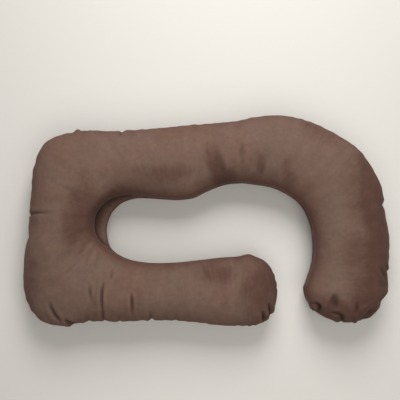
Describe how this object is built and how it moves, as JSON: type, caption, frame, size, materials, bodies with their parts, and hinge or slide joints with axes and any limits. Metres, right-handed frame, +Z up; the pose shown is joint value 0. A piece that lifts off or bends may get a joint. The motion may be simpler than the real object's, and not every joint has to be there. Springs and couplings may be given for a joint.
{
  "type": "pregnancy pillow",
  "caption": "G-shaped full-body pregnancy pillow in brown velour, fibre filled, lying flat on its back with rounded, gathered arm ends.",
  "frame": {"origin": "centre of the pillow's bounding box in plan, on the surface that it lies on", "axes": "+X along the pillow's length, from the closed back of the G towards the open arm; +Y towards the arched side; +Z up, out of the front panel"},
  "size_m": [1.3714, 0.7986, 0.2042],
  "materials": {
    "velour": "soft short-pile velour"
  },
  "bodies": {
    "root": {"pillow": "velour"}
  },
  "joints": []
}
